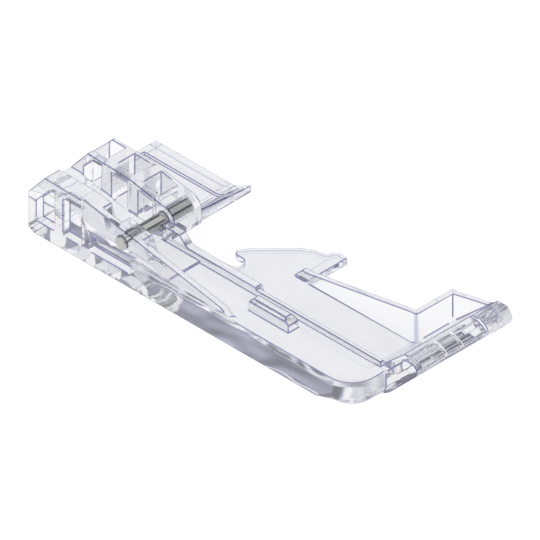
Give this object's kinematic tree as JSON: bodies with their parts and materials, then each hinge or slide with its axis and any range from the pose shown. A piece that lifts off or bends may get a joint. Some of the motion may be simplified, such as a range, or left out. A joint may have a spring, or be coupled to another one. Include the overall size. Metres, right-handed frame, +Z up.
{
  "type": "sewing machine presser foot",
  "caption": "Clear clip-on presser foot for an overlock sewing machine, with a steel cross pin, ribbed housing, needle opening, knife fence and upturned ski tip.",
  "frame": {"origin": "on the flat sole plane, under the middle of the bare stretch of the cross pin", "axes": "+X across to the knife side, along the cross pin; +Y to the back of the foot; -Y to the ski tip; +Z up"},
  "size_m": [0.0251, 0.0674, 0.01],
  "materials": {
    "clear_plastic": "polished clear polycarbonate",
    "pin_steel": "ground steel"
  },
  "bodies": {
    "root": {"foot_body": "clear_plastic", "pin": "pin_steel"}
  },
  "joints": []
}
